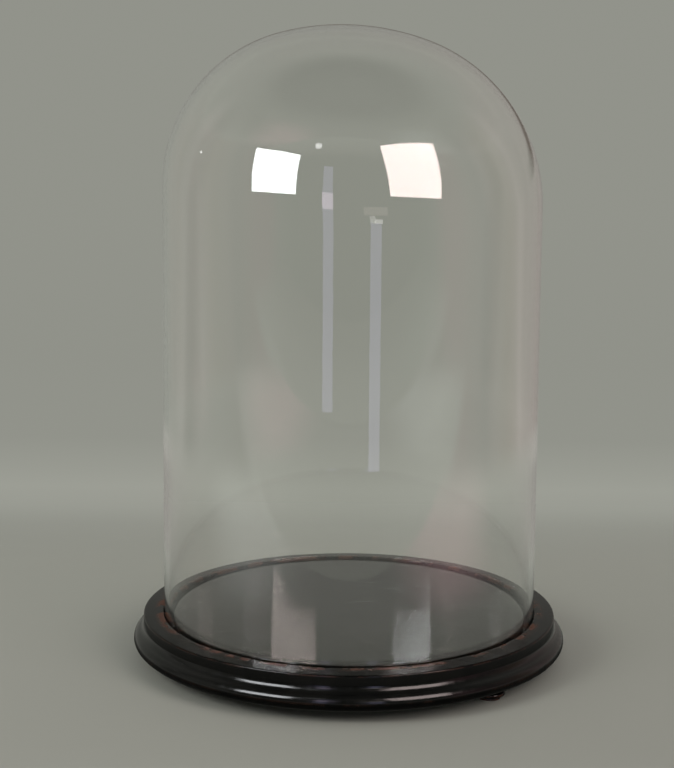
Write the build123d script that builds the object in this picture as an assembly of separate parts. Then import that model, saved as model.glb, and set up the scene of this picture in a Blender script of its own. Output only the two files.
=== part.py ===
"""Bell jar: a blown glass dome that stands in the groove of a turned, ebonised wooden base on three bun feet.

Millimetres, +Z up. The origin is on the floor, under the middle of the base. The viewer's side is -Y.
"""

import os
from math import cos, radians, sin, sqrt

from build123d import *

os.makedirs("parts", exist_ok=True)

# Heights above the floor
FOOT_HEIGHT = 8.0
LEDGE_Z = 26.0  # floor of the groove, and the seat of the platform boards
PLATFORM_Z = 35.8  # top of the platform boards
LAND_Z = 36.9  # crest of the ring's upper face, beside the groove
FLAT_GAP = 0.2  # between flat faces of pieces that move apart

# Glass dome
GLASS_RADIUS = 139.6  # outside: an 11 inch dome
GLASS_WALL = 3.0
SHOULDER_Z = 353.3  # where the straight wall ends
CROWN_RISE = 123.9  # from the shoulder to the top, less than a hemisphere
SHOULDER_ARC = 121.0  # outside radius of the shoulder's arc; the top is a wider one
CROWN_TILT = -0.0436  # the blown crown's rise for each mm towards +X
RIM_ROUND = 1.2  # fire-polished rim
SPARE_WALL = 20.0  # wall below the rim that is cut off after the shear
EDGE_SEARCH = 0.01

# Felt ring under the rim
FELT_THICK = 1.6
FELT_INNER_RADIUS = 133.2
FELT_OUTER_RADIUS = 139.9

# Platform of two boards, glued edge to edge on the diameter
PLATFORM_RADIUS = 132.5
PLATFORM_EDGE_ROUND = 0.6
OPEN_JOINT_WIDTH = 0.6  # the glue line has opened at its -X end
OPEN_JOINT_LENGTH = 51.0

# Ring: an upper lip, a quirk under it, and an ogee of a cove and a torus
BORE_RADIUS = 112.0
GROOVE_RADIUS = 140.3
CREST_ROUND = 1.0
LIP_RADIUS = 155.3
LIP_Z = 35.8  # the upper face falls this far at its outer edge
LIP_ROUND = 1.3
QUIRK_Z = 28.1  # lower end of the lip's upright face
QUIRK_DEPTH = 0.4
OGEE_ARC = 6.8  # both arcs of the ogee, tangent to each other
COVE_CENTRE = (161.45, 28.77)
TORUS_RADIUS = 162.8
TORUS_UNDERCUT = 14.5  # how far the torus draws in between its widest line and the underside

# Bun feet, each turned with a spigot that is glued into the ring
FOOT_CIRCLE = 141.0
FOOT_ANGLES = {"foot_left": -163.0, "foot_right": -43.0, "foot_back": 77.0}
FOOT_BULGE_RADIUS = 11.0
FOOT_BULGE_Z = 4.2
FOOT_SOLE_RADIUS = 8.0
FOOT_NECK_RADIUS = 9.6
SPIGOT_RADIUS = 4.0
SPIGOT_LENGTH = 10.0

# Countersunk wood screws that hold the boards to the ring's ledge, from below
SCREW_CIRCLE = 123.0
SCREW_COUNT = 6
SCREW_HEAD_RADIUS = 4.0
SCREW_SHANK_RADIUS = 2.0
SCREW_HEAD_DEPTH = 2.2
SCREW_LENGTH = 25.0
SCREW_POINT = 3.5
SLOT_WIDTH = 1.0
SLOT_DEPTH = 1.1
SLOT_TURN = 35.0  # from one screw to the next


def turned(*edges):
    """The solid that a closed half section, drawn with radius as X and height as Y, makes when turned."""
    return revolve(Plane.XZ * make_face(list(edges)), Axis.Z)


def on_circle(radius, angle, shape, height=0.0):
    """The shape moved to a place on a circle round the Z axis."""
    return Pos(radius * cos(radians(angle)), radius * sin(radians(angle)), height) * shape


def crown_arcs(inset):
    """The shoulder's arc and the top's arc, tangent to each other, inset from the outside of the glass."""
    offset = GLASS_RADIUS - SHOULDER_ARC
    top_arc = (offset**2 - SHOULDER_ARC**2 + CROWN_RISE**2) / (2 * (CROWN_RISE - SHOULDER_ARC))
    shoulder_centre = Vector(offset, SHOULDER_Z)
    top_centre = Vector(0, SHOULDER_Z + CROWN_RISE - top_arc)
    outward = (shoulder_centre - top_centre).normalized()
    start = Vector(GLASS_RADIUS - inset, SHOULDER_Z)
    joint = top_centre + outward * (top_arc - inset)
    top = Vector(0, SHOULDER_Z + CROWN_RISE - inset)
    return TangentArc(start, joint, tangent=(0, 1)), TangentArc(top, joint, tangent=(1, 0))


def make_glass():
    """The dome. Its crown is sheared, so that one shoulder stands higher, and then its rim is cut flat."""
    rim_z = LEDGE_Z + 2 * FLAT_GAP + FELT_THICK
    spare_z = rim_z - SPARE_WALL
    inner = GLASS_RADIUS - GLASS_WALL
    top = SHOULDER_Z + CROWN_RISE
    shell = turned(
        Line((inner, spare_z), (GLASS_RADIUS, spare_z)),
        Line((GLASS_RADIUS, spare_z), (GLASS_RADIUS, SHOULDER_Z)),
        *crown_arcs(0.0),
        Line((0, top), (0, top - GLASS_WALL)),
        *crown_arcs(GLASS_WALL),
        Line((inner, SHOULDER_Z), (inner, spare_z)),
    )
    shear = Matrix([[1, 0, 0, 0], [0, 1, 0, 0], [CROWN_TILT, 0, 1, 0]])
    dome = shell.solid().transform_geometry(shear)
    reach = 3 * GLASS_RADIUS
    below_rim = Box(reach, reach, reach, align=(Align.CENTER, Align.CENTER, Align.MAX))
    dome = (dome - Pos(0, 0, rim_z) * below_rim).solid()
    rim_edges = dome.edges().filter_by_position(Axis.Z, rim_z - EDGE_SEARCH, rim_z + EDGE_SEARCH)
    return dome.fillet(RIM_ROUND, rim_edges)


def make_felt():
    """The loose ring of felt in the groove, which the glass stands on."""
    ring = Circle(FELT_OUTER_RADIUS) - Circle(FELT_INNER_RADIUS)
    return Pos(0, 0, LEDGE_Z + FLAT_GAP) * extrude(ring, FELT_THICK)


def screw_body():
    """A wood screw without its slot, head down on z = 0."""
    shank_end = SCREW_LENGTH - SCREW_POINT
    outline = [
        (0, 0),
        (SCREW_HEAD_RADIUS, 0),
        (SCREW_SHANK_RADIUS, SCREW_HEAD_DEPTH),
        (SCREW_SHANK_RADIUS, shank_end),
        (0, SCREW_LENGTH),
    ]
    return turned(Polyline(*outline, close=True))


def screw_places():
    """Each screw's angle on its circle, three to a board."""
    return [360.0 / SCREW_COUNT * (i + 0.5) for i in range(SCREW_COUNT)]


def make_screws():
    """The screws, as one group of separate solids."""
    slot = Pos(0, 0, SLOT_DEPTH / 2) * Box(3 * SCREW_HEAD_RADIUS, SLOT_WIDTH, SLOT_DEPTH)
    screws = []
    for i, angle in enumerate(screw_places()):
        slotted = screw_body() - Rot(0, 0, SLOT_TURN * i) * slot
        screws.append(on_circle(SCREW_CIRCLE, angle, slotted, FOOT_HEIGHT).solid())
    return Compound(children=screws)


def make_ring():
    """The turned ring, with the groove and ledge inside its lip, and holes for the spigots and the screws."""
    crest = GROOVE_RADIUS + CREST_ROUND
    cove = Vector(*COVE_CENTRE)
    torus_r = TORUS_RADIUS - OGEE_ARC
    torus = Vector(torus_r, cove.Y - sqrt((2 * OGEE_ARC) ** 2 - (cove.X - torus_r) ** 2))
    widest = Vector(TORUS_RADIUS, torus.Y)
    joint = (cove + torus) / 2
    cove_z = QUIRK_Z - QUIRK_DEPTH
    cove_r = cove.X - sqrt(OGEE_ARC**2 - (cove.Y - cove_z) ** 2)
    foot_r = TORUS_RADIUS - TORUS_UNDERCUT
    ring = turned(
        Line((BORE_RADIUS, FOOT_HEIGHT), (foot_r, FOOT_HEIGHT)),
        EllipticalCenterArc((foot_r, torus.Y), TORUS_UNDERCUT, torus.Y - FOOT_HEIGHT, 270, arc_size=90),
        TangentArc(widest, joint, tangent=(0, 1)),
        RadiusArc(joint, (cove_r, cove_z), OGEE_ARC),
        Line((cove_r, cove_z), (LIP_RADIUS, QUIRK_Z)),
        Line((LIP_RADIUS, QUIRK_Z), (LIP_RADIUS, LIP_Z - LIP_ROUND)),
        CenterArc((LIP_RADIUS - LIP_ROUND, LIP_Z - LIP_ROUND), LIP_ROUND, 0, 90),
        Line((LIP_RADIUS - LIP_ROUND, LIP_Z), (crest, LAND_Z)),
        CenterArc((crest, LAND_Z - CREST_ROUND), CREST_ROUND, 90, 90),
        Line((GROOVE_RADIUS, LAND_Z - CREST_ROUND), (GROOVE_RADIUS, LEDGE_Z)),
        Line((GROOVE_RADIUS, LEDGE_Z), (BORE_RADIUS, LEDGE_Z)),
        Line((BORE_RADIUS, LEDGE_Z), (BORE_RADIUS, FOOT_HEIGHT)),
    )
    for angle in FOOT_ANGLES.values():
        hole = extrude(Circle(SPIGOT_RADIUS), SPIGOT_LENGTH)
        ring -= on_circle(FOOT_CIRCLE, angle, hole, FOOT_HEIGHT)
    for angle in screw_places():
        ring -= on_circle(SCREW_CIRCLE, angle, screw_body(), FOOT_HEIGHT)
    return ring


def make_boards():
    """The front and the back board of the platform, with the screws' holes in their undersides."""
    disc = Pos(0, 0, LEDGE_Z) * Cylinder(
        PLATFORM_RADIUS, PLATFORM_Z - LEDGE_Z, align=(Align.CENTER, Align.CENTER, Align.MIN)
    )
    disc = fillet(disc.edges().sort_by(Axis.Z)[-1], PLATFORM_EDGE_ROUND)
    for angle in screw_places():
        disc -= on_circle(SCREW_CIRCLE, angle, screw_body(), FOOT_HEIGHT)
    reach = 2 * PLATFORM_RADIUS
    half = Box(reach, reach, reach, align=(Align.CENTER, Align.MAX, Align.CENTER))
    edge_x = -PLATFORM_RADIUS
    opening = make_face(
        Polyline(
            (edge_x, 0),
            (edge_x, -OPEN_JOINT_WIDTH),
            (edge_x + OPEN_JOINT_LENGTH, 0),
            close=True,
        )
    )
    front = (disc & half) - extrude(opening, reach)
    return front, disc - half


def make_foot():
    """A bun foot on z = 0, with its spigot up."""
    spigot_top = FOOT_HEIGHT + SPIGOT_LENGTH
    return turned(
        Line((0, 0), (FOOT_SOLE_RADIUS, 0)),
        ThreePointArc((FOOT_SOLE_RADIUS, 0), (FOOT_BULGE_RADIUS, FOOT_BULGE_Z), (FOOT_NECK_RADIUS, FOOT_HEIGHT)),
        Line((FOOT_NECK_RADIUS, FOOT_HEIGHT), (SPIGOT_RADIUS, FOOT_HEIGHT)),
        Line((SPIGOT_RADIUS, FOOT_HEIGHT), (SPIGOT_RADIUS, spigot_top)),
        Line((SPIGOT_RADIUS, spigot_top), (0, spigot_top)),
        Line((0, spigot_top), (0, 0)),
    )


front_board, back_board = make_boards()
parts = {
    "glass_dome": make_glass(),
    "rim_felt": make_felt(),
    "platform_board_front": front_board,
    "platform_board_back": back_board,
    "platform_screws": make_screws(),
    "base_ring": make_ring(),
}
for name, angle in FOOT_ANGLES.items():
    parts[name] = on_circle(FOOT_CIRCLE, angle, make_foot())

for name, shape in parts.items():
    export_step(shape, f"parts/{name}.step")
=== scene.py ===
"""Looks of the bell jar: a blown glass dome on an ebonised, turned base. Metres, in the frame's own axes."""

import math
import random

import bmesh
import bpy
import numpy as np
from mathutils import Matrix, Vector, noise


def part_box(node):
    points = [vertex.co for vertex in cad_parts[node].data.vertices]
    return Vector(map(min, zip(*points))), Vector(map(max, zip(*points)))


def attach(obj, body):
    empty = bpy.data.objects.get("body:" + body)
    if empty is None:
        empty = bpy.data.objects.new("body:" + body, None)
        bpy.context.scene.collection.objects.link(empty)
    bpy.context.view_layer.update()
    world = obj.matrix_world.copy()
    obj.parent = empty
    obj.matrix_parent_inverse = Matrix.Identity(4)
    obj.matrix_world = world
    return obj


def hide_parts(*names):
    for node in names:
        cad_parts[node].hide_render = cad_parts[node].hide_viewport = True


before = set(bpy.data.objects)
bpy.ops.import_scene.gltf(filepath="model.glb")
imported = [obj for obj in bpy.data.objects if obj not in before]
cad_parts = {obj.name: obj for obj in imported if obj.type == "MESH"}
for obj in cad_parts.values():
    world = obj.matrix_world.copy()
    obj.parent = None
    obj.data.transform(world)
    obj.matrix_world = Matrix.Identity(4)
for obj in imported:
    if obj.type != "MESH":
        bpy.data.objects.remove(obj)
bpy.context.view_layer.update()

# ---------------------------------------------------------------- sizes
MM = 0.001
glass_low, glass_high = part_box("glass_dome")
ring_low, ring_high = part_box("base_ring")
board_low, board_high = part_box("platform_board_back")
felt_low, felt_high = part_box("rim_felt")

# Glass: a straight wall, a shoulder arc and a wider arc over the top
GLASS_RADIUS = (glass_high.x - glass_low.x) / 2
GLASS_WALL = 3 * MM
RIM_Z = glass_low.z
RIM_ROUND = 1.2 * MM
SHOULDER_Z = 353.3 * MM
CROWN_RISE = 123.9 * MM
SHOULDER_ARC = 121 * MM
CROWN_TILT = -0.0436  # the blown crown's rise for each metre towards +X
BLOWN_WAVE, DRAWN_WAVE = 0.0004, 0.00006  # how far the wall strays from round, as parts of its radius

# Platform boards
BOARD_RADIUS = board_high.x
BOARD_TOP = board_high.z
LEDGE_Z = board_low.z
BOARD_ROUND = 0.6 * MM
OPEN_JOINT_WIDTH = 0.6 * MM
OPEN_JOINT_LENGTH = 51 * MM
BOARD_CUP = 0.10 * MM
BOARD_RIPPLE = 0.018 * MM
CRACK_DEPTH = 1.5 * MM

# Turned ring, from the torus in to the groove and the bore
TORUS_RADIUS = ring_high.x
LAND_Z = ring_high.z
FOOT_HEIGHT = ring_low.z
BORE_RADIUS = 112 * MM
GROOVE_RADIUS = 140.3 * MM
CREST_ROUND = 1 * MM
LIP_RADIUS = 155.3 * MM
LIP_Z = 35.8 * MM
LIP_ROUND = 1.3 * MM
QUIRK_Z = 28.1 * MM
QUIRK_DEPTH = 0.4 * MM
OGEE_ARC = 6.8 * MM
COVE_R, COVE_Z = 161.45 * MM, 28.77 * MM
TORUS_UNDERCUT = 14.5 * MM

RING_WAVE = 0.12 * MM  # how far wear takes the outside in
RING_WARP = 0.05 * MM  # and the top down
CREST_WEAR_WIDTH = 1.6 * MM
DENT_COUNT = 34
# radius and height in millimetres
DENT_PLACES = ((162.7, 17), (161, 21), (155.2, 34), (152, 35.9), (143, 36.7), (161, 13))

# Screw holes in the ring
SCREW_CIRCLE = 123 * MM
SCREW_COUNT = 6
SCREW_HOLE_RADIUS = 4.3 * MM
SCREW_HOLE_DEPTH = 1.2 * MM
CUT_SHARP = 30  # edges sharper than this in degrees stay crisp after a cut

# Felt ring
FELT_WIDTH = 6.7 * MM
FELT_PLAY = 0.1 * MM  # between the felt and the outside of its box
FELT_SPARE, FELT_SPARE_Z = 0.25 * MM, 0.08 * MM  # room left for the fluff
FELT_EDGE_ROUND = 0.55 * MM
FELT_FLUFF = 0.07 * MM
FELT_FIBRES = 1400
FELT_FIBRE_THICK = 0.02 * MM
FELT_SEAM = math.radians(152)
FELT_SEAM_GAP = 0.5 * MM

# Bun feet
FOOT_SOLE_RADIUS = 8 * MM
FOOT_NECK_RADIUS = 9.6 * MM
FOOT_BULGE_Z = 4.2 * MM
FOOT_LINE_Z = 6.9 * MM  # the turned line at the neck
FOOT_LINE_DEPTH = 0.45 * MM
SPIGOT_RADIUS = 4 * MM


# ---------------------------------------------------------------- mesh helpers
def mesh_object(name, vertices, faces, sharp=40):
    """A new smooth mesh object, whose edges turn sharp above an angle in degrees."""
    mesh = bpy.data.meshes.new(name)
    mesh.from_pydata([tuple(v) for v in vertices], [], faces)
    mesh.validate()
    mesh.shade_smooth()
    mesh.set_sharp_from_angle(angle=math.radians(sharp))
    piece = bpy.data.objects.new(name, mesh)
    bpy.context.scene.collection.objects.link(piece)
    return piece


def face_outward(piece):
    """Turns the piece's faces so that all of them look out."""
    mesh = bmesh.new()
    mesh.from_mesh(piece.data)
    bmesh.ops.recalc_face_normals(mesh, faces=mesh.faces)
    mesh.to_mesh(piece.data)
    mesh.free()


def arc(centre, radius_x, radius_y, start, end, count):
    """Points on an ellipse's arc, angles in degrees, both ends included."""
    angles = np.radians(np.linspace(start, end, count))
    return [(centre[0] + radius_x * math.cos(a), centre[1] + radius_y * math.sin(a)) for a in angles]


def run(start, end, count):
    """Points on a straight line, both ends included."""
    return [tuple(p) for p in np.linspace(start, end, count)]


def joined(*stretches):
    """One outline from several, without the points that follow each other in the same place."""
    outline = []
    for point in (p for stretch in stretches for p in stretch):
        if not outline or math.dist(point, outline[-1]) > 1e-7:
            outline.append(point)
    if math.dist(outline[0], outline[-1]) < 1e-7:
        outline.pop()
    return outline


def turn(name, outline, segments, closed=True, shape=None, sharp=40):
    """A surface of revolution about Z of (radius, height) points. A radius of 0 makes one point, a pole."""
    vertices = []
    rings = []
    for radius, height in outline:
        steps = 1 if radius == 0 else segments
        rings.append(range(len(vertices), len(vertices) + steps))
        for step in range(steps):
            a = 2 * math.pi * step / segments
            point = (radius * math.cos(a), radius * math.sin(a), height)
            vertices.append(shape(*point) if shape else point)
    faces = []
    for this, following in zip(rings, rings[1:] + rings[:1] if closed else rings[1:]):
        if len(this) == 1 and len(following) == 1:
            continue
        for step in range(segments):
            beside = (step + 1) % segments
            corners = [this[step % len(this)], this[beside % len(this)]]
            corners += [following[beside % len(following)], following[step % len(following)]]
            faces.append(tuple(dict.fromkeys(corners)))
    piece = mesh_object(name, vertices, faces, sharp)
    face_outward(piece)
    return piece


def prism(corners, low, high):
    """A plain cutter: the corners' outline between two heights."""
    count = len(corners)
    vertices = [(x, y, z) for z in (low, high) for x, y in corners]
    sides = [(i, (i + 1) % count, count + (i + 1) % count, count + i) for i in range(count)]
    caps = [tuple(reversed(range(count))), tuple(range(count, 2 * count))]
    return vertices, sides + caps


def cut(piece, cutters):
    """Takes the cutters' prisms out of the piece, and makes the result its mesh, sharp at the cuts."""
    vertices, faces = [], []
    for points, sides in cutters:
        faces += [tuple(len(vertices) + i for i in side) for side in sides]
        vertices += points
    tool = mesh_object("cutter", vertices, faces)
    face_outward(tool)
    boolean = piece.modifiers.new("cut", "BOOLEAN")
    boolean.operation = "DIFFERENCE"
    boolean.solver = "EXACT"
    boolean.object = tool
    bpy.context.view_layer.update()
    result = bpy.data.meshes.new_from_object(piece.evaluated_get(bpy.context.evaluated_depsgraph_get()))
    piece.modifiers.clear()
    piece.data = result
    bpy.data.objects.remove(tool)
    result.shade_smooth()
    result.set_sharp_from_angle(angle=math.radians(CUT_SHARP))


def fractal(x, y, z, scale, seed=0.0):
    """Smooth noise about zero at a place in metres. scale is in waves per metre."""
    return noise.fractal(Vector((x * scale + seed, y * scale - seed, z * scale + 2 * seed)), 1.0, 2.0, 3)


# ---------------------------------------------------------------- shader helpers
def add(tree, kind, inputs, **settings):
    """A new shader node. An input is a number, a colour or another node's socket."""
    node = tree.nodes.new("ShaderNode" + kind)
    for key, value in settings.items():
        setattr(node, key, value)
    for key, value in inputs.items():
        if isinstance(value, bpy.types.NodeSocket):
            tree.links.new(value, node.inputs[key])
        else:
            node.inputs[key].default_value = value
    return node


def maths(tree, operation, a, b=0.0, c=0.0):
    return add(tree, "Math", {0: a, 1: b, 2: c}, operation=operation).outputs[0]


def spread(tree, value, low, high, out_low=0.0, out_high=1.0, smooth=True):
    """value between low and high becomes out_low to out_high, and stays there outside."""
    kind = "SMOOTHSTEP" if smooth else "LINEAR"
    inputs = {"Value": value, "From Min": low, "From Max": high, "To Min": out_low, "To Max": out_high}
    return add(tree, "MapRange", inputs, interpolation_type=kind).outputs["Result"]


def near(tree, value, middle, half):
    """1 where value is at middle, and 0 from half away on."""
    away = maths(tree, "ABSOLUTE", maths(tree, "SUBTRACT", value, middle))
    return spread(tree, away, half, 0.0)


def mixed(tree, factor, a, b):
    """Colour a, or b where factor is 1."""
    node = add(tree, "Mix", {0: factor}, data_type="RGBA")
    for socket, value in ((node.inputs[6], a), (node.inputs[7], b)):
        if isinstance(value, bpy.types.NodeSocket):
            tree.links.new(value, socket)
        else:
            socket.default_value = (*value, 1)
    return node.outputs[2]


def ramp(tree, factor, stops):
    """Colours (or tones) at places from 0 to 1."""
    node = add(tree, "ValToRGB", {"Fac": factor})
    elements = node.color_ramp.elements
    while len(elements) < len(stops):
        elements.new(1.0)
    for element, (place, colour) in zip(elements, stops):
        element.position = place
        element.color = (*colour, 1) if isinstance(colour, tuple) else (colour, colour, colour, 1)
    return node.outputs["Color"]


def place(tree, stretch=(1, 1, 1)):
    """The point on the object in millimetres, stretched."""
    where = add(tree, "TexCoord", {}).outputs["Object"]
    scale = tuple(1000 * s for s in stretch)
    return add(tree, "VectorMath", {0: where, 1: scale}, operation="MULTIPLY").outputs[0]


def cloud(tree, vector, scale, detail=3.0, rough=0.55):
    """Noise from 0 to 1. scale is in waves per millimetre."""
    inputs = {"Vector": vector, "Scale": scale, "Detail": detail, "Roughness": rough}
    return add(tree, "TexNoise", inputs).outputs["Fac"]


def radius_and_height(tree):
    """The distance from the Z axis and the height, in millimetres."""
    parts = add(tree, "SeparateXYZ", {0: place(tree)})
    squares = maths(tree, "MULTIPLY", parts.outputs["X"], parts.outputs["X"])
    squares = maths(tree, "MULTIPLY_ADD", parts.outputs["Y"], parts.outputs["Y"], squares)
    return maths(tree, "SQRT", squares), parts.outputs["Z"]


def new_material(name):
    """A material, its node tree and its Principled shader."""
    material = bpy.data.materials.new(name)
    material.use_nodes = True
    return material, material.node_tree, material.node_tree.nodes["Principled BSDF"]


def raise_bump(tree, shader, height, depth_mm, strength=1.0):
    bump = add(tree, "Bump", {"Height": height, "Distance": depth_mm * MM, "Strength": strength})
    tree.links.new(bump.outputs["Normal"], shader.inputs["Normal"])


# ---------------------------------------------------------------- glass
def crown(inset, count):
    """The crown's outline from the shoulder to the top, inset from the outside of the glass."""
    offset = GLASS_RADIUS - SHOULDER_ARC
    top_arc = (offset**2 - SHOULDER_ARC**2 + CROWN_RISE**2) / (2 * (CROWN_RISE - SHOULDER_ARC))
    top_centre = SHOULDER_Z + CROWN_RISE - top_arc
    joint = math.degrees(math.atan2(SHOULDER_Z - top_centre, offset))
    shoulder = arc((offset, SHOULDER_Z), SHOULDER_ARC - inset, SHOULDER_ARC - inset, 0, joint, count)
    top = arc((0, top_centre), top_arc - inset, top_arc - inset, joint, 90, count // 4)
    return shoulder + top[1:-1] + [(0, SHOULDER_Z + CROWN_RISE - inset)]


def make_glass():
    """The dome: outer wall up, inner wall down and a rounded rim, with the slight waves of blown glass."""
    inner_radius = GLASS_RADIUS - GLASS_WALL
    rim_top = RIM_Z + RIM_ROUND
    outline = joined(
        run((GLASS_RADIUS, rim_top), (GLASS_RADIUS, SHOULDER_Z), 48),
        crown(0, 90),
        crown(GLASS_WALL, 90)[::-1],
        run((inner_radius, SHOULDER_Z), (inner_radius, rim_top), 48),
        arc((inner_radius + RIM_ROUND, rim_top), RIM_ROUND, RIM_ROUND, 180, 270, 5),
        arc((GLASS_RADIUS - RIM_ROUND, rim_top), RIM_ROUND, RIM_ROUND, 270, 360, 5),
    )

    def blown(x, y, z):
        rise = min(max((z - RIM_Z) / (SHOULDER_Z - RIM_Z), 0.0), 1.0)
        wave = noise.noise(Vector((x * 9, y * 9, z * 5 + 4.0)))
        drawn = noise.noise(Vector((x * 38, y * 38, z * 7)))
        swell = 1 + (BLOWN_WAVE * wave + DRAWN_WAVE * drawn) * min(8 * rise, 1)
        return x * swell, y * swell, z + CROWN_TILT * x * rise

    return turn("glass_dome_blown", outline, 384, shape=blown, sharp=60)


def glass_material():
    """Clear glass. Shadow rays pass straight through, so that the base is lit."""
    material, tree, shader = new_material("dome_glass")
    shader.inputs["Base Color"].default_value = (0.985, 0.99, 0.98, 1)
    shader.inputs["Transmission Weight"].default_value = 1.0
    shader.inputs["Roughness"].default_value = 0.0
    shader.inputs["IOR"].default_value = 1.5
    drawn = cloud(tree, place(tree, (1, 1, 0.12)), 0.045, 2.0)
    raise_bump(tree, shader, drawn, 0.08, 0.25)
    clear = add(tree, "BsdfTransparent", {"Color": (0.93, 0.94, 0.93, 1)})
    shadow = add(tree, "LightPath", {}).outputs["Is Shadow Ray"]
    mix = add(tree, "MixShader", {"Fac": shadow, 1: shader.outputs["BSDF"], 2: clear.outputs["BSDF"]})
    tree.links.new(mix.outputs["Shader"], tree.nodes["Material Output"].inputs["Surface"])
    return material


# ---------------------------------------------------------------- felt
def make_felt():
    """The loose felt ring: a soft-edged strip that meets itself at a butt seam, with its fluff."""
    steps, across = 420, 5
    middle = (felt_high.x - FELT_WIDTH / 2 - FELT_PLAY, (felt_low.z + felt_high.z) / 2)
    half_width = FELT_WIDTH / 2 - FELT_SPARE
    half_height = (felt_high.z - felt_low.z) / 2 - FELT_SPARE_Z
    section = []
    for side_x, side_z, start in ((1, 1, 0), (-1, 1, 90), (-1, -1, 180), (1, -1, 270)):
        corner = (side_x * (half_width - FELT_EDGE_ROUND), side_z * (half_height - FELT_EDGE_ROUND))
        section += arc(corner, FELT_EDGE_ROUND, FELT_EDGE_ROUND, start, start + 90, across)
    vertices, faces = [], []
    gap = FELT_SEAM_GAP / middle[0]
    for step in range(steps + 1):
        a = FELT_SEAM + gap + (2 * math.pi - 2 * gap) * step / steps
        for u, w in section:
            fluff = FELT_FLUFF * noise.noise(Vector((a * 160, u * 900, w * 900)))
            pressed = 1 - 0.06 * (0.5 + noise.noise(Vector((a * 6, 1.7, 0))))
            r = middle[0] + u + fluff
            vertices.append((r * math.cos(a), r * math.sin(a), middle[1] + w * pressed + fluff))
    count = len(section)
    for step in range(steps):
        for i in range(count):
            j = (i + 1) % count
            faces.append((step * count + i, step * count + j, (step + 1) * count + j, (step + 1) * count + i))
    faces += [tuple(range(count)), tuple(range(steps * count, (steps + 1) * count))[::-1]]
    add_fibres(vertices, faces, middle, half_width, half_height)
    piece = mesh_object("rim_felt_ring", vertices, faces)
    face_outward(piece)
    return piece


def add_fibres(vertices, faces, middle, half_width, half_height):
    """Short loose fibres on the felt's inner and outer edge, each a bent three-sided needle."""
    dice = random.Random(11)
    for _ in range(FELT_FIBRES):
        a = dice.uniform(0, 2 * math.pi)
        side = dice.choice((-1, 1))
        root = Vector((side * (half_width - 0.1 * MM), dice.uniform(-0.5, 1) * half_height * 0.8))
        reach = dice.uniform(0.1, 0.26) * MM
        lean, lift = dice.uniform(-1, 1) * MM, dice.uniform(-0.2, 0.1) * MM
        first = len(vertices)
        for t in (0.0, 0.5, 1.0):
            r = middle[0] + root.x + side * reach * t
            turned = a + lean * t * t / middle[0]
            z = middle[1] + root.y + lift * t
            for k in range(3):
                thick = FELT_FIBRE_THICK * (1.1 - t)
                b = 2 * math.pi * k / 3
                out = r + thick * math.cos(b)
                vertices.append((out * math.cos(turned), out * math.sin(turned), z + thick * math.sin(b)))
        for level in range(2):
            for k in range(3):
                low, high = first + 3 * level, first + 3 * level + 3
                faces.append((low + k, low + (k + 1) % 3, high + (k + 1) % 3, high + k))
        faces += [(first + 2, first + 1, first), (first + 6, first + 7, first + 8)]


def felt_material():
    material, tree, shader = new_material("wool_felt")
    where = place(tree)
    shade = cloud(tree, where, 0.35, 5.0, 0.7)
    speck = cloud(tree, where, 3.0, 2.0)
    colour = mixed(tree, spread(tree, shade, 0.3, 0.7), (0.016, 0.013, 0.013), (0.036, 0.030, 0.029))
    colour = mixed(tree, spread(tree, speck, 0.68, 0.76), colour, (0.12, 0.11, 0.10))
    tree.links.new(colour, shader.inputs["Base Color"])
    shader.inputs["Roughness"].default_value = 0.95
    shader.inputs["Sheen Weight"].default_value = 0.35
    shader.inputs["Sheen Roughness"].default_value = 0.6
    shader.inputs["Specular IOR Level"].default_value = 0.2
    fibre = cloud(tree, place(tree, (1, 1, 2)), 4.5, 4.0, 0.75)
    raise_bump(tree, shader, fibre, 0.25)
    return material


# ---------------------------------------------------------------- turned ring
def ring_outline():
    """The ring's section: underside, torus, cove, quirk, lip, upper face, crest, groove, ledge and bore."""
    crest = (GROOVE_RADIUS + CREST_ROUND, LAND_Z - CREST_ROUND)
    torus_r = TORUS_RADIUS - OGEE_ARC
    torus_z = COVE_Z - math.sqrt((2 * OGEE_ARC) ** 2 - (COVE_R - torus_r) ** 2)
    slope = math.degrees(math.atan2(COVE_Z - torus_z, COVE_R - torus_r))
    cove_end = math.degrees(math.asin((COVE_Z - QUIRK_Z + QUIRK_DEPTH) / OGEE_ARC))
    foot_r = TORUS_RADIUS - TORUS_UNDERCUT
    lip = (LIP_RADIUS - LIP_ROUND, LIP_Z - LIP_ROUND)
    return joined(
        run((BORE_RADIUS, FOOT_HEIGHT), (foot_r, FOOT_HEIGHT), 12),
        arc((foot_r, torus_z), TORUS_UNDERCUT, torus_z - FOOT_HEIGHT, 270, 360, 22),
        arc((torus_r, torus_z), OGEE_ARC, OGEE_ARC, 0, slope, 16),
        arc((COVE_R, COVE_Z), OGEE_ARC, OGEE_ARC, slope + 180, 180 + cove_end, 16),
        run((LIP_RADIUS, QUIRK_Z), (LIP_RADIUS, lip[1]), 7),
        arc(lip, LIP_ROUND, LIP_ROUND, 0, 90, 8),
        run((lip[0], LIP_Z), (crest[0], LAND_Z), 12),
        arc(crest, CREST_ROUND, CREST_ROUND, 90, 180, 7),
        run((GROOVE_RADIUS, crest[1]), (GROOVE_RADIUS, LEDGE_Z), 6),
        run((GROOVE_RADIUS, LEDGE_Z), (BORE_RADIUS, LEDGE_Z), 8),
        run((BORE_RADIUS, LEDGE_Z), (BORE_RADIUS, FOOT_HEIGHT), 6),
    )


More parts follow.
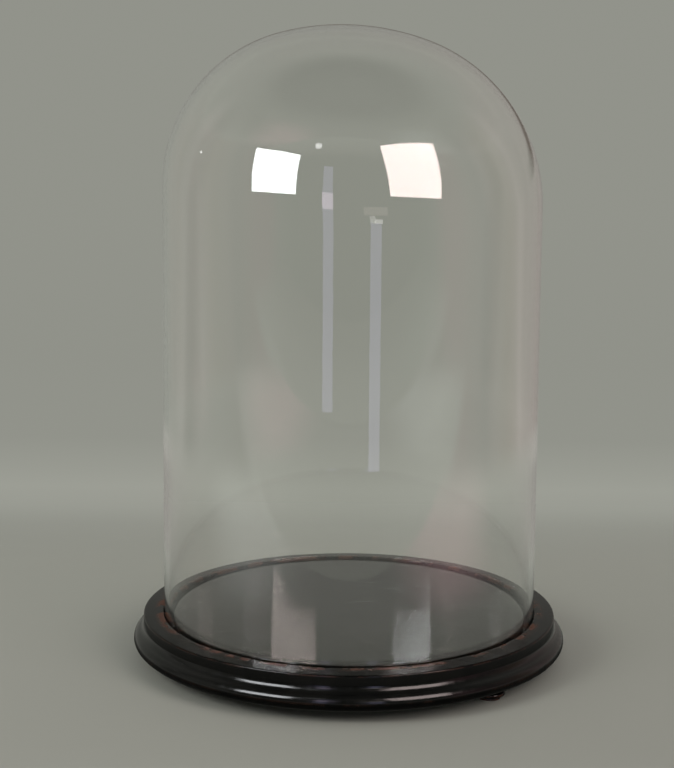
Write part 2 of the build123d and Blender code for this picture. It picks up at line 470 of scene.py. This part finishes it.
def make_ring():
    """The turned ring, a little worn: a rubbed crest, small dents, and a long low wave from shrinkage."""
    dice = random.Random(5)
    dents = []
    for _ in range(DENT_COUNT):
        a = dice.uniform(0, 2 * math.pi)
        radius, height = dice.choice(DENT_PLACES)
        at = Vector((radius * MM * math.cos(a), radius * MM * math.sin(a), height * MM))
        dents.append((at, dice.uniform(1.2, 3.4) * MM, dice.uniform(0.06, 0.25) * MM))

    def worn(x, y, z):
        r = math.hypot(x, y)
        if r < GROOVE_RADIUS - 0.1 * MM or z < FOOT_HEIGHT + 0.1 * MM:
            return x, y, z
        out = Vector((x / r, y / r, 0))
        point = Vector((x, y, z))
        point -= out * RING_WAVE * (0.5 + 0.5 * fractal(x, y, z, 11))
        point.z -= RING_WARP * (1 + fractal(x, y, 0, 24, 3.0))
        crest = 0.0
        if z > LAND_Z - 2 * MM:
            crest = max(0.0, 1 - abs(r - GROOVE_RADIUS - 0.6 * MM) / CREST_WEAR_WIDTH)
        rubbed = max(0.0, fractal(x, y, z, 60, 8.0))
        point.z -= crest * (0.12 + 0.7 * rubbed) * MM
        for at, size, depth in dents:
            away = (point - at).length / size
            if away < 1:
                point -= (out * 0.7 + Vector((0, 0, 0.7 if z > 24 * MM else 0))) * depth * (1 - away**2) ** 2
        return tuple(point)

    ring = turn("turned_ring", ring_outline(), 560, shape=worn, sharp=35)
    holes = []
    for i in range(SCREW_COUNT):
        a = 2 * math.pi * (i + 0.5) / SCREW_COUNT
        centre = (SCREW_CIRCLE * math.cos(a), SCREW_CIRCLE * math.sin(a))
        low = FOOT_HEIGHT - SCREW_HOLE_DEPTH
        hole_edge = arc(centre, SCREW_HOLE_RADIUS, SCREW_HOLE_RADIUS, 0, 360, 29)[:-1]
        holes.append(prism(hole_edge, low, FOOT_HEIGHT + SCREW_HOLE_DEPTH))
    cut(ring, holes)
    return ring


def ebonised(name, worn_edges, wood=(0.085, 0.030, 0.016)):
    """Black stained and polished wood, duller on top. worn_edges gives where it is rubbed bare."""
    material, tree, shader = new_material(name)
    where = place(tree)
    patches = cloud(tree, where, 0.055, 4.0, 0.6)
    fine = cloud(tree, where, 0.9, 4.0, 0.65)
    grain = cloud(tree, place(tree, (0.05, 1, 1)), 1.1, 3.0)
    streaks = cloud(tree, place(tree, (0.012, 0.6, 0.6)), 2.4, 2.0)

    shade = spread(tree, patches, 0.35, 0.7)
    shade = mixed(tree, shade, (0.0022, 0.0022, 0.0022), (0.0050, 0.0047, 0.0042))
    shade = mixed(tree, spread(tree, streaks, 0.62, 0.78), shade, (0.0080, 0.0062, 0.0052))
    radius, rise = radius_and_height(tree)
    rubbed = worn_edges(tree, radius, rise)
    rubbed = maths(tree, "MULTIPLY", rubbed, spread(tree, patches, 0.43, 0.58))
    rubbed = maths(tree, "MULTIPLY", rubbed, spread(tree, fine, 0.30, 0.52))
    bare = mixed(tree, spread(tree, grain, 0.35, 0.65), wood, tuple(1.9 * c for c in wood))
    shade = mixed(tree, rubbed, shade, bare)
    speck = spread(tree, cloud(tree, where, 1.7, 1.0), 0.79, 0.82)
    shade = mixed(tree, speck, shade, (0.07, 0.065, 0.055))
    tree.links.new(shade, shader.inputs["Base Color"])

    smear = cloud(tree, place(tree, (1, 1, 0.3)), 0.22, 4.0)
    polish = spread(tree, smear, 0.3, 0.75, 0.10, 0.22)
    polish = maths(tree, "MULTIPLY_ADD", rubbed, 0.3, polish)
    tree.links.new(maths(tree, "MULTIPLY_ADD", speck, 0.3, polish), shader.inputs["Roughness"])
    gloss = spread(tree, rise, 34.0, 35.6, 0.27, 0.10)
    tree.links.new(gloss, shader.inputs["Specular IOR Level"])
    height = maths(tree, "MULTIPLY_ADD", grain, 0.6, maths(tree, "MULTIPLY", fine, 0.5))
    height = maths(tree, "MULTIPLY_ADD", rubbed, -0.8, height)
    raise_bump(tree, shader, height, 0.05, 0.35)
    return material


def ring_wear(tree, radius, height):
    """The groove's crest is rubbed most, then the lip's shoulder, and the torus a little."""
    high = spread(tree, height, 34.0, 35.2)
    crest = maths(tree, "MULTIPLY", near(tree, radius, 142.2, 6.0), high)
    lip = maths(tree, "MULTIPLY", near(tree, radius, 155.2, 0.8), near(tree, height, 35.0, 1.2))
    torus = maths(tree, "MULTIPLY", near(tree, radius, 162.8, 0.25), near(tree, height, 16.5, 3.0))
    total = maths(tree, "MULTIPLY_ADD", lip, 0.25, crest)
    return maths(tree, "MULTIPLY_ADD", torus, 0.12, total)


def foot_wear(tree, _radius, height):
    """The feet are rubbed near the sole and on the bulge."""
    sole = spread(tree, height, 1.6, 0.2)
    return maths(tree, "MAXIMUM", sole, maths(tree, "MULTIPLY", near(tree, height, 4.2, 1.2), 0.6))


# ---------------------------------------------------------------- platform boards
def make_boards():
    """The two boards: slightly cupped, with hairline cracks along the grain, which runs along X."""
    top, edge = BOARD_TOP, BOARD_RADIUS
    outline = joined(
        [(0, LEDGE_Z)],
        run((20 * MM, LEDGE_Z), (edge, LEDGE_Z), 5),
        [(edge, top - BOARD_ROUND)],
        arc((edge - BOARD_ROUND, top - BOARD_ROUND), BOARD_ROUND, BOARD_ROUND, 0, 90, 6),
        run((edge - BOARD_ROUND, top), (4 * MM, top), 44),
        [(0, top)],
    )

    def cupped(x, y, z):
        if z < top - BOARD_ROUND:
            return x, y, z
        middle = abs(y) / edge - 0.5
        hollow = BOARD_CUP * (1 - 4 * middle * middle)
        ripple = BOARD_RIPPLE * noise.noise(Vector((x * 7, y * 75, 0.4)))
        return x, y, z - max(hollow, 0) - 0.02 * MM + ripple

    # each crack's middle X and Y and its length in metres, and its width in millimetres
    cracks = {
        "platform_back": [
            (-0.022, 0.046, 0.030, 0.20),
            (0.060, 0.071, 0.024, 0.15),
            (0.081, 0.022, 0.016, 0.12),
        ],
        "platform_front": [
            (-0.034, -0.118, 0.020, 0.35),
            (-0.030, -0.1235, 0.014, 0.30),
            (-0.074, -0.058, 0.018, 0.22),
            (0.052, -0.094, 0.022, 0.16),
        ],
    }
    boards = {}
    for name, side in (("platform_back", 1), ("platform_front", -1)):
        board = turn(name, outline, 288, shape=cupped, sharp=35)
        mesh = bmesh.new()
        mesh.from_mesh(board.data)
        sliced = bmesh.ops.bisect_plane(
            mesh,
            geom=mesh.verts[:] + mesh.edges[:] + mesh.faces[:],
            plane_co=(0, 0, 0),
            plane_no=(0, -side, 0),
            clear_outer=True,
        )
        edges = [e for e in sliced["geom_cut"] if isinstance(e, bmesh.types.BMEdge)]
        bmesh.ops.holes_fill(mesh, edges=edges, sides=0)
        bmesh.ops.recalc_face_normals(mesh, faces=mesh.faces)
        mesh.to_mesh(board.data)
        mesh.free()
        cutters = []
        for x, y, length, width in cracks[name]:
            bend = 0.6 * width * MM
            slit = [
                (x - length / 2, y),
                (x - length / 6, y - bend),
                (x + length / 2, y + bend),
                (x + length / 6, y + width * MM - bend),
            ]
            cutters.append(prism(slit, top - CRACK_DEPTH, top + MM))
        if side < 0:
            wedge = [(-1.01 * edge, 0.02 * MM), (-1.01 * edge, -OPEN_JOINT_WIDTH)]
            wedge += [(-edge + OPEN_JOINT_LENGTH * 0.55, -OPEN_JOINT_WIDTH * 0.5)]
            wedge += [(-edge + OPEN_JOINT_LENGTH, 0.02 * MM)]
            cutters.append(prism(wedge, LEDGE_Z - MM, top + MM))
        cut(board, cutters)
        boards[name] = board
    return boards


def platform_material():
    """Black stain under gloss varnish: ripples along the grain, dull patches, scratches and dust."""
    material, tree, shader = new_material("platform_varnish")
    where = place(tree)
    grain = cloud(tree, place(tree, (0.035, 1, 1)), 0.55, 4.0, 0.6)
    pores = cloud(tree, place(tree, (0.02, 1, 1)), 2.8, 2.0)
    patches = cloud(tree, where, 0.022, 3.0, 0.5)
    shade = mixed(tree, spread(tree, grain, 0.3, 0.7), (0.0075, 0.0072, 0.0060), (0.0135, 0.0130, 0.0105))
    shade = mixed(tree, spread(tree, patches, 0.45, 0.7), shade, (0.0155, 0.0150, 0.0145))
    speck = spread(tree, cloud(tree, where, 0.85, 1.0), 0.785, 0.81)
    shade = mixed(tree, speck, shade, (0.16, 0.16, 0.14))
    tree.links.new(shade, shader.inputs["Base Color"])

    scratch = spread(tree, cloud(tree, place(tree, (0.05, 1.6, 1)), 0.9, 1.0), 0.735, 0.75)
    across = spread(tree, cloud(tree, place(tree, (1.4, 0.06, 1)), 0.7, 1.0), 0.745, 0.76)
    marks = maths(tree, "MAXIMUM", scratch, maths(tree, "MULTIPLY", across, 0.5))
    dull = spread(tree, cloud(tree, where, 0.05, 4.0, 0.6), 0.35, 0.75, 0.055, 0.16)
    dull = maths(tree, "MULTIPLY_ADD", marks, 0.2, dull)
    tree.links.new(maths(tree, "MULTIPLY_ADD", speck, 0.4, dull), shader.inputs["Roughness"])
    shader.inputs["IOR"].default_value = 1.5
    height = maths(tree, "MULTIPLY_ADD", pores, 0.25, maths(tree, "MULTIPLY", grain, 0.9))
    height = maths(tree, "MULTIPLY_ADD", marks, -0.35, height)
    raise_bump(tree, shader, height, 0.02, 0.25)
    return material


# ---------------------------------------------------------------- feet and screws
def make_foot(node):
    """A bun foot with a turned line at its neck and a chamfered, scuffed sole."""
    low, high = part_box(node)
    centre = (low + high) / 2
    bulge, neck, line = high.x - centre.x, FOOT_NECK_RADIUS, FOOT_LINE_DEPTH
    chamfer = 0.4 * MM
    outline = joined(
        [(0, 0)],
        run((FOOT_SOLE_RADIUS / 2, 0), (FOOT_SOLE_RADIUS - chamfer, 0), 3),
        arc((0, FOOT_BULGE_Z), bulge, FOOT_BULGE_Z, -48, 0, 9),
        arc((0, FOOT_BULGE_Z), bulge, FOOT_BULGE_Z - chamfer, 0, 38, 8),
        [(neck, FOOT_LINE_Z - line), (neck - line, FOOT_LINE_Z), (neck + 0.1 * MM, FOOT_LINE_Z + line)],
        [(neck, FOOT_HEIGHT), (SPIGOT_RADIUS, FOOT_HEIGHT), (SPIGOT_RADIUS, high.z), (0, high.z)],
    )

    def placed(x, y, z):
        r = math.hypot(x, y)
        scuff = 1 - 0.012 * abs(fractal(x, y, z, 160, centre.x * 90)) if r > 5 * MM else 1
        return centre.x + x * scuff, centre.y + y * scuff, z

    return turn(node + "_turned", outline, 72, shape=placed, sharp=35)


def steel_material():
    material, tree, shader = new_material("dull_steel")
    where = place(tree)
    stain = cloud(tree, where, 0.9, 4.0, 0.65)
    colour = mixed(tree, spread(tree, stain, 0.35, 0.6), (0.33, 0.31, 0.29), (0.16, 0.13, 0.11))
    rust = spread(tree, cloud(tree, where, 1.6, 3.0), 0.60, 0.68)
    tree.links.new(mixed(tree, rust, colour, (0.14, 0.05, 0.02)), shader.inputs["Base Color"])
    tree.links.new(spread(tree, rust, 0, 1, 1.0, 0.15, smooth=False), shader.inputs["Metallic"])
    tree.links.new(spread(tree, stain, 0.3, 0.7, 0.32, 0.62), shader.inputs["Roughness"])
    raise_bump(tree, shader, cloud(tree, place(tree, (8, 1, 1)), 1.2, 3.0), 0.06, 0.6)
    return material


# ---------------------------------------------------------------- the object
def fit(piece, material, body, slot, *nodes):
    """Gives a piece its material and the body it rides on, and hides the CAD nodes it stands for. The slot is
    not used.
    """
    piece.data.materials.clear()
    piece.data.materials.append(material)
    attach(piece, body)
    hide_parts(*nodes)


def make_object():
    fit(make_glass(), glass_material(), "dome", "dome_glass", "glass_dome")
    fit(make_felt(), felt_material(), "felt_ring", "felt", "rim_felt")
    fit(make_ring(), ebonised("ebonised_ring", ring_wear), "base", "ebonised_wood", "base_ring")
    boards = make_boards()
    varnish = platform_material()
    fit(boards["platform_front"], varnish, "base", "platform_wood", "platform_board_front")
    fit(boards["platform_back"], varnish, "base", "platform_wood", "platform_board_back")
    turned = ebonised("ebonised_feet", foot_wear)
    for node in ("foot_left", "foot_right", "foot_back"):
        fit(make_foot(node), turned, "base", "foot_wood", node)
    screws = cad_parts["platform_screws"]
    screws.data.materials.clear()
    screws.data.materials.append(steel_material())


# ---------------------------------------------------------------- surroundings
PALE = (0.286, 0.291, 0.257)  # what is behind the object
SKY_LIGHT = 0.27  # the even light on matt surfaces
FLOOR_RADIUS = 14.0
# A pair says where one thing has faded into the next, in metres along Y or X, or from the object's foot.
LIT_FLOOR_Y, LIT_FLOOR_REACH = (0.22, 0.44), (0.7, 1.8)  # lit before this, bright of itself beyond
EVEN_FLOOR_REACH = (1.2, 3.0)
# The paper's colour holds painted light: it grows lighter towards the back to even out how the lamps fall
# off.
PAPER_WITH_PAINTED_LIGHT = [(-0.20, 0.545), (0.0, 0.585), (0.2, 0.635), (0.4, 0.68)]  # the lit floor's tone by distance along Y
# the floor's glow farther back, by distance along Y: even, but for a painted band of light that is brightest
# at 0.49
BACKDROP_GLOW_WITH_PAINTED_BAND = [
    (0.30, 0.275),
    (0.36, 0.290),
    (0.42, 0.322),
    (0.49, 0.338),
    (0.56, 0.318),
    (0.68, 0.290),
    (1.05, 0.285),
    (2.40, 0.291),
]
# what mirror-like surfaces show, all round: degrees from -Y towards +X, and its colour
ROOM = [
    (-180, (0.31, 0.31, 0.28)),
    (-143, (0.33, 0.34, 0.30)),
    (-128, (0.32, 0.33, 0.29)),
    (-122, (0.39, 0.39, 0.35)),
    (-117, (0.42, 0.42, 0.38)),
    (-112, (0.27, 0.27, 0.24)),
    (-107, (0.21, 0.22, 0.19)),
    (-103, (0.27, 0.27, 0.24)),
    (-96, (0.42, 0.42, 0.38)),
    (-82, (0.39, 0.40, 0.35)),
    (-73, (0.34, 0.34, 0.30)),
    (-63, (0.27, 0.27, 0.23)),
    (-52, (0.16, 0.16, 0.14)),
    (-40, (0.13, 0.13, 0.11)),
    (27, (0.14, 0.16, 0.13)),
    (39, (0.15, 0.20, 0.15)),
    (49, (0.24, 0.27, 0.23)),
    (58, (0.43, 0.26, 0.27)),
    (66, (0.40, 0.24, 0.25)),
    (75, (0.29, 0.22, 0.21)),
    (84, (0.19, 0.16, 0.16)),
    (91, (0.34, 0.26, 0.24)),
    (102, (0.33, 0.25, 0.20)),
    (108, (0.41, 0.31, 0.26)),
    (113, (0.45, 0.35, 0.32)),
    (118, (0.56, 0.45, 0.43)),
    (124, (0.42, 0.34, 0.32)),
    (130, (0.37, 0.31, 0.29)),
    (148, (0.35, 0.32, 0.29)),
    (180, (0.31, 0.31, 0.28)),
]
# what they show above the room, before and behind the object, and overhead, by the direction's Z
ABOVE_FRONT, ABOVE_BACK, OVERHEAD = (0.19, 0.20, 0.17), (0.31, 0.31, 0.28), (0.125, 0.13, 0.115)
ROOM_TOP, OVERHEAD_FROM = (0.45, 0.72), (0.78, 0.95)
# mirrored only: the table round the object, the apron before it and what is low and far behind the object
TABLE_FRONT_Y, APRON_END_Y = -0.47, -1.0
# Painted shadow round the base, as mirrored surfaces see the table: its tone by radius, darkest next to the
# base.
NEAR_PAINTED_SHADOW = [(0.16, 0.03), (0.20, 0.06), (0.24, 0.18), (0.30, 0.30), (0.34, 0.34)]  # by radius
NEAR_REACH, TABLE_REACH, FAR_REACH = (0.30, 0.42), (0.60, 0.85), (4.5, 6.0)
# Painted light on the mirrored table: dim in the middle before the object, bright to the left and right where
# the softboxes' light falls, pinkish on the right from the warm right softbox.
TABLE_MIDDLE, TABLE_LEFT_PAINTED_LIGHT, TABLE_RIGHT_PAINTED_LIGHT = (0.38, 0.38, 0.35), (0.98, 1.00, 0.94), (1.15, 0.78, 0.80)
TABLE_MIDDLE_HALF, APRON_HALF = (0.15, 0.42), (1.3, 0.9)
TABLE_BESIDE = (0.34, 0.33, 0.30)
# Painted light on the mirrored apron: bright near the table, fading darker farther out.
APRON_NEAR, APRON_FAR = (0.60, 0.60, 0.54), (0.26, 0.26, 0.23)
FAR_DARK = (0.15, 0.13, 0.11)


def by_distance(tree, distance, tones):
    """The pale tint, as bright as the list of (distance, tone) says."""
    start, end = tones[0][0], tones[-1][0]
    tint = [c / PALE[1] for c in PALE]
    stops = [((at - start) / (end - start), tuple(tone * t for t in tint)) for at, tone in tones]
    return ramp(tree, spread(tree, distance, start, end, smooth=False), stops)


def room(tree, direction):
    """The room's colour in a direction, whatever its height, and the direction's X, Y and Z."""
    parts = add(tree, "SeparateXYZ", {0: direction})
    back = maths(tree, "MULTIPLY", parts.outputs["Y"], -1.0)
    azimuth = maths(tree, "ARCTAN2", parts.outputs["X"], back)
    around = spread(tree, azimuth, -math.pi, math.pi, smooth=False)
    return ramp(tree, around, [(a / 360 + 0.5, colour) for a, colour in ROOM]), parts.outputs


def mirrored(tree):
    """1 for light that has met a mirror-like surface on its way, or 0, and the same for a matt one."""
    path = add(tree, "LightPath", {})
    seen = maths(tree, "MINIMUM", path.outputs["Glossy Depth"], 1.0)
    return seen, path.outputs["Is Diffuse Ray"]


def make_world():
    """Even light for matt surfaces, a pale surround behind the object, and a room for reflections."""
    world = bpy.data.worlds.new("world")
    bpy.context.scene.world = world
    world.use_nodes = True
    world.cycles.sampling_method = "NONE"
    tree = world.node_tree
    direction = add(tree, "TexCoord", {}).outputs["Generated"]
    around, parts = room(tree, direction)
    height = parts["Z"]
    above = mixed(tree, spread(tree, parts["Y"], -0.1, 0.4), ABOVE_FRONT, ABOVE_BACK)
    above = mixed(tree, spread(tree, height, *OVERHEAD_FROM), above, OVERHEAD)
    seen_room = mixed(tree, spread(tree, height, *ROOM_TOP), around, above)
    low = spread(tree, height, 0.06, 0.02)
    to_right = spread(tree, parts["X"], -0.25, 0.0)
    behind = maths(tree, "MULTIPLY", spread(tree, parts["Y"], 0.70, 0.88), to_right)
    seen_room = mixed(tree, maths(tree, "MULTIPLY", low, behind), seen_room, FAR_DARK)
    reflection, diffuse = mirrored(tree)
    seen = mixed(tree, reflection, PALE, seen_room)
    light = mixed(tree, diffuse, seen, (SKY_LIGHT, SKY_LIGHT, SKY_LIGHT))
    tree.links.new(light, tree.nodes["Background"].inputs["Color"])


def make_floor():
    """Pale paper, lit near the object and glowing evenly far behind it, with painted light that brightens it
    towards the back and a painted band of light behind the object. In reflections it shows the table with
    painted softbox light and a painted shadow round the base, and the room past it.
    """
    floor = turn("floor", [(0, 0)] + run((0.1, 0), (FLOOR_RADIUS, 0), 40), 96, closed=False)
    material, tree, shader = new_material("paper")
    shader.inputs["Roughness"].default_value = 0.9
    shader.inputs["Specular IOR Level"].default_value = 0.05
    fibre = cloud(tree, place(tree), 1.5, 3.0)
    raise_bump(tree, shader, fibre, 0.05, 0.3)
    output = tree.nodes["Material Output"].inputs["Surface"]

    where = add(tree, "TexCoord", {}).outputs["Object"]
    around, parts = room(tree, where)
    # the paper's colour, with painted light that brightens it towards the back
    tree.links.new(by_distance(tree, parts["Y"], PAPER_WITH_PAINTED_LIGHT), shader.inputs["Base Color"])
    distance = add(tree, "VectorMath", {0: where}, operation="LENGTH").outputs["Value"]
    # the glow farther back, with its painted band of light
    backdrop_glow_with_painted_band = by_distance(tree, parts["Y"], BACKDROP_GLOW_WITH_PAINTED_BAND)
    pale = mixed(tree, spread(tree, distance, *EVEN_FLOOR_REACH), backdrop_glow_with_painted_band, PALE)
    even = add(tree, "Emission", {"Color": pale})
    far = spread(tree, parts["Y"], *LIT_FLOOR_Y)
    far = maths(tree, "MAXIMUM", far, spread(tree, distance, *LIT_FLOOR_REACH))
    lit = add(tree, "MixShader", {"Fac": far, 1: shader.outputs["BSDF"], 2: even.outputs["Emission"]})

    aside = maths(tree, "ABSOLUTE", parts["X"])
    # the table as reflections show it, with painted softbox light to the sides and a dim middle
    table = mixed(tree, spread(tree, parts["X"], -0.05, 0.05), TABLE_LEFT_PAINTED_LIGHT, TABLE_RIGHT_PAINTED_LIGHT)
    table = mixed(tree, spread(tree, aside, *TABLE_MIDDLE_HALF), TABLE_MIDDLE, table)
    table = mixed(tree, spread(tree, parts["Y"], -0.30, 0.0), table, TABLE_BESIDE)
    # painted shadow round the base
    shade = by_distance(tree, distance, NEAR_PAINTED_SHADOW)
    table = mixed(tree, spread(tree, distance, *NEAR_REACH), shade, table)
    # the apron's painted light, fading with distance
    apron = mixed(tree, spread(tree, parts["Y"], APRON_END_Y, TABLE_FRONT_Y), APRON_FAR, APRON_NEAR)
    before_end = spread(tree, parts["Y"], APRON_END_Y - 0.02, APRON_END_Y + 0.02)
    narrow = spread(tree, aside, *APRON_HALF)
    outer = mixed(tree, maths(tree, "MULTIPLY", before_end, narrow), around, apron)
    behind = maths(tree, "MULTIPLY", spread(tree, parts["Y"], 1.0, 2.0), spread(tree, distance, *FAR_REACH))
    behind = maths(tree, "MULTIPLY", behind, spread(tree, parts["X"], -1.0, 0.0))
    outer = mixed(tree, behind, outer, FAR_DARK)
    front = spread(tree, parts["Y"], TABLE_FRONT_Y + 0.01, TABLE_FRONT_Y - 0.01)
    past_table = maths(tree, "MAXIMUM", front, spread(tree, distance, *TABLE_REACH))
    beside = maths(tree, "MULTIPLY", past_table, spread(tree, parts["Y"], TABLE_FRONT_Y, TABLE_FRONT_Y + 0.1))
    outer = mixed(tree, beside, outer, around)
    glow = add(tree, "Emission", {"Color": mixed(tree, past_table, table, outer)})
    reflection, diffuse = mirrored(tree)
    shown = maths(tree, "MULTIPLY", reflection, maths(tree, "SUBTRACT", 1.0, diffuse))
    mix = add(tree, "MixShader", {"Fac": shown, 1: lit.outputs["Shader"], 2: glow.outputs["Emission"]})
    tree.links.new(mix.outputs["Shader"], output)
    floor.data.materials.append(material)


def panel(name, azimuth, elevation, distance, width, height, roll, colour, target=(0, 0, 0.385), mirror=True):
    """A rectangular light that faces the target, azimuth from -Y towards +X, angles in degrees.

    A mirror panel only shows in reflections, and gives nothing to light that a matt surface has scattered.
    The other kind only lights matt surfaces.
    """
    a, e = math.radians(azimuth), math.radians(elevation)
    out = Vector((math.sin(a) * math.cos(e), -math.cos(a) * math.cos(e), math.sin(e)))
    light = bpy.data.lights.new(name, "AREA")
    light.shape = "RECTANGLE"
    light.size = width
    light.size_y = height
    strongest = max(colour)
    light.energy = strongest * math.pi * width * height
    light.color = tuple(c / strongest for c in colour)
    lamp = bpy.data.objects.new(name, light)
    bpy.context.scene.collection.objects.link(lamp)
    lamp.location = Vector(target) + out * distance
    lamp.rotation_mode = "QUATERNION"
    facing = out.to_track_quat("Z", "Y").to_matrix() @ Matrix.Rotation(math.radians(roll), 3, "Z")
    lamp.rotation_quaternion = facing.to_quaternion()
    lamp.visible_camera = False
    lamp.visible_diffuse = not mirror
    lamp.visible_glossy = mirror
    lamp.visible_transmission = mirror
    if mirror:
        light.use_nodes = True
        tree = light.node_tree
        scattered = maths(tree, "MINIMUM", add(tree, "LightPath", {}).outputs["Diffuse Depth"], 1.0)
        strength = maths(tree, "SUBTRACT", 1.0, scattered)
        tree.links.new(strength, tree.nodes["Emission"].inputs["Strength"])
    return lamp


def post(name, x, y, low, high, width, colour):
    """An upright mirror panel that stands at a place on the floor and faces the object's axis."""
    azimuth = math.degrees(math.atan2(x, -y))
    middle = (0, 0, (low + high) / 2)
    return panel(name, azimuth, 0, math.hypot(x, y), width, high - low, 0, colour, target=middle)


def make_lights():
    """Two softboxes, each a mirror panel and a light, and the strips and lamps that the glass mirrors."""
    left = (-46.2, 18.7, 1.18, 0.575, 0.53, 6.0)  # azimuth, elevation, distance, width, height and roll
    right = (40.2, 25.3, 1.57, 0.89, 0.95, -7.0)
    panel("left_box", *left, (18.5, 19.0, 19.5))
    panel("right_box", *right, (10.5, 8.8, 8.5))
    panel("left_light", *left, (4.6, 4.65, 4.55), mirror=False)
    panel("right_light", *right, (3.1, 2.8, 2.75), mirror=False)
    strips = [
        post("left_strip", -0.240, -1.045, 0.0, 0.93, 0.105, (1.65, 1.60, 2.40)),
        post("left_strip_block", -0.239, -1.035, 0.385, 0.575, 0.115, (3.9, 3.1, 3.6)),
        post("right_strip", 0.174, -0.762, 0.012, 0.283, 0.080, (1.65, 1.60, 2.40)),
        post("right_head", 0.180, -0.786, 0.345, 0.415, 0.180, (1.15, 0.95, 0.85)),
        post("right_hook", 0.155, -0.790, 0.280, 0.338, 0.040, (3.0, 2.9, 2.8)),
        post("right_bar", 0.200, -0.780, 0.276, 0.312, 0.061, (4.6, 4.5, 4.4)),
        panel("small_lamp", -21.6, 40.2, 1.6, 0.095, 0.10, 10, (9.0, 9.0, 9.0)),
        panel("far_lamp", -105.2, 12.6, 1.58, 0.05, 0.03, 20, (6.0, 6.0, 6.0)),
    ]
    for strip in strips:
        strip.visible_transmission = False


# ---------------------------------------------------------------- camera
# in metres and degrees
CAMERA_DISTANCE = 2.0
CAMERA_HEIGHT = 0.6652
CAMERA_PITCH = 12.79  # down
CAMERA_YAW = -0.294  # towards +X
CAMERA_ROLL = 0.442
LENS, SENSOR = 129.05, 36.0  # millimetres


def make_camera():
    pitch, yaw, roll = (math.radians(a) for a in (CAMERA_PITCH, CAMERA_YAW, CAMERA_ROLL))
    ahead = Vector((math.sin(yaw) * math.cos(pitch), math.cos(yaw) * math.cos(pitch), -math.sin(pitch)))
    level = Vector((math.cos(yaw), -math.sin(yaw), 0))
    upright = level.cross(ahead)
    right = level * math.cos(roll) + upright * math.sin(roll)
    up = upright * math.cos(roll) - level * math.sin(roll)
    data = bpy.data.cameras.new("camera")
    data.lens = LENS
    data.sensor_width = SENSOR
    camera = bpy.data.objects.new("camera", data)
    bpy.context.scene.collection.objects.link(camera)
    turned = Matrix((right, up, -ahead)).transposed().to_4x4()
    camera.matrix_world = Matrix.Translation((0, -CAMERA_DISTANCE, CAMERA_HEIGHT)) @ turned
    bpy.context.scene.camera = camera


make_camera()
make_object()
make_floor()
make_lights()
make_world()
bpy.context.scene.view_settings.view_transform = "Standard"
